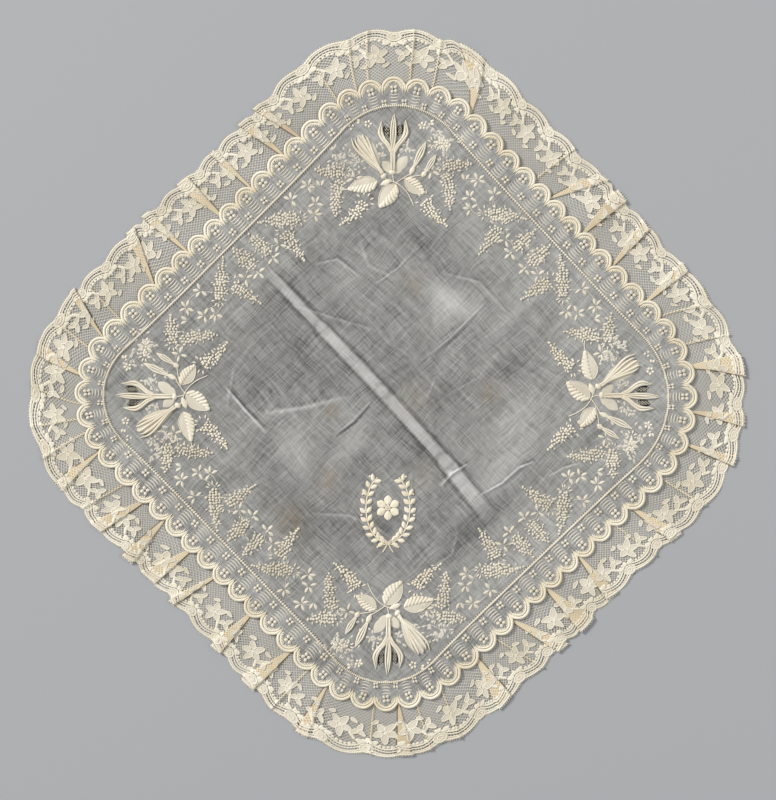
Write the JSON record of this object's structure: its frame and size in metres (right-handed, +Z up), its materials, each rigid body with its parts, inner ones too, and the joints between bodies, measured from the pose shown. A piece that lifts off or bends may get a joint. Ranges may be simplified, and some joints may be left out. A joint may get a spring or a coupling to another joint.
{
  "type": "lace handkerchief",
  "caption": "Square linen handkerchief with rounded corners, a scalloped whitework edge, corner sprays and a pleated lace frill, lying flat.",
  "frame": {"origin": "on the underside, below the middle of the handkerchief's bounding box", "axes": "+Z up out of the face that shows; X and Y run along the sides of the square"},
  "size_m": [0.4052, 0.3996, 0.0036],
  "materials": {
    "linen": "fine plain-woven lawn, thin enough to look grey, with cream cotton embroidery",
    "lace": "fine cream net with worked flower sprigs, aged slightly yellow"
  },
  "bodies": {
    "root": {"linen": "linen", "lace_frill": "lace"}
  },
  "joints": []
}
